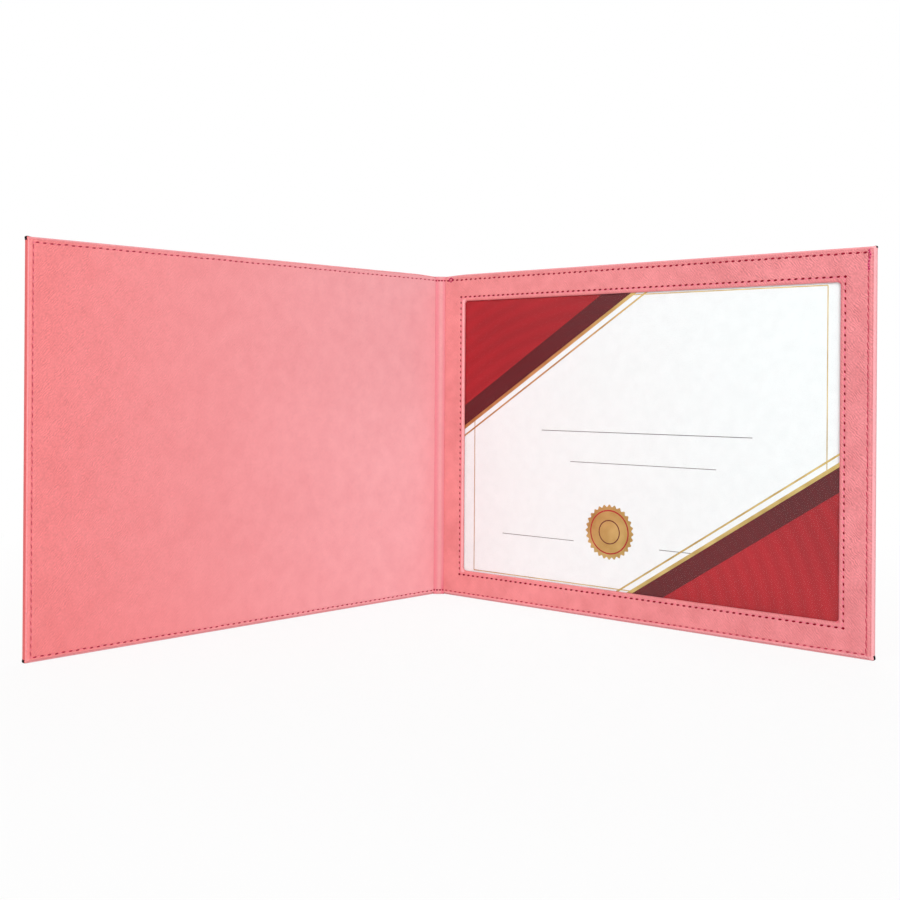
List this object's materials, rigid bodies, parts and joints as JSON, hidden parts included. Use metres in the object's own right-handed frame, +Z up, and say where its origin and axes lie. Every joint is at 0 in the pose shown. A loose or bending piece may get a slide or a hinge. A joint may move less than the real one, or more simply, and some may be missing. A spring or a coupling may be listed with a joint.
{
  "type": "certificate holder",
  "caption": "Stitched leatherette certificate holder that folds like a book on a creased spine, with a window frame over a pocket for a landscape letter-size sheet.",
  "frame": {"origin": "on the floor below the middle of the open holder's bounding box", "axes": "+Z up, +X along the back panel from the spine to its fore edge, the back panel's window faces -Y"},
  "size_m": [0.346, 0.3118, 0.2286],
  "materials": {
    "cover_leatherette": "pink grained leatherette, turned over the board's edges",
    "lining_leatherette": "pink grained leatherette, smooth",
    "frame_leatherette": "pink grained leatherette",
    "thread": "twisted crimson sewing thread",
    "greyboard": "raw pressed board",
    "card": "plain card",
    "liner_paper": "matte dark paper",
    "certificate_paper": "printed satin paper",
    "clear_film": "clear glossy film"
  },
  "bodies": {
    "back_panel": {"back_cover": "cover_leatherette", "back_board": "greyboard", "pocket_lip": "lining_leatherette", "pocket_liner": "liner_paper", "frame_core": "card", "frame_skin": "frame_leatherette", "window_seam": "thread", "frame_edge_seam": "thread", "back_edge_seam": "thread"},
    "insert": {"certificate": "certificate_paper", "clear_sheet": "clear_film"},
    "spine": {"spine_cover": "cover_leatherette", "spine_lining": "lining_leatherette", "spine_head_seam": "thread", "spine_head_back_seam": "thread", "spine_tail_seam": "thread", "spine_tail_back_seam": "thread"},
    "front_panel": {"front_cover": "cover_leatherette", "front_board": "greyboard", "front_infill": "card", "front_lining": "lining_leatherette", "lining_edge_seam": "thread", "front_edge_seam": "thread"}
  },
  "joints": [
    {"name": "back_crease", "type": "hinge", "parent": "back_panel", "child": "spine", "pos_m": [-0.13303, 0.15498, 0], "axis": [0, 0, 1], "range_deg": [-42, 48]},
    {"name": "front_crease", "type": "hinge", "parent": "spine", "child": "front_panel", "pos_m": [-0.14017, 0.14856, 0], "axis": [0, 0, 1], "range_deg": [-42, 48]},
    {"name": "insert_slide", "type": "slide", "parent": "back_panel", "child": "insert", "axis": [1, 0, 0], "range_m": [-0.012, 0.006]}
  ],
  "couplings": [
    {"joint": "front_crease", "follows": "back_crease", "ratio": 1}
  ]
}
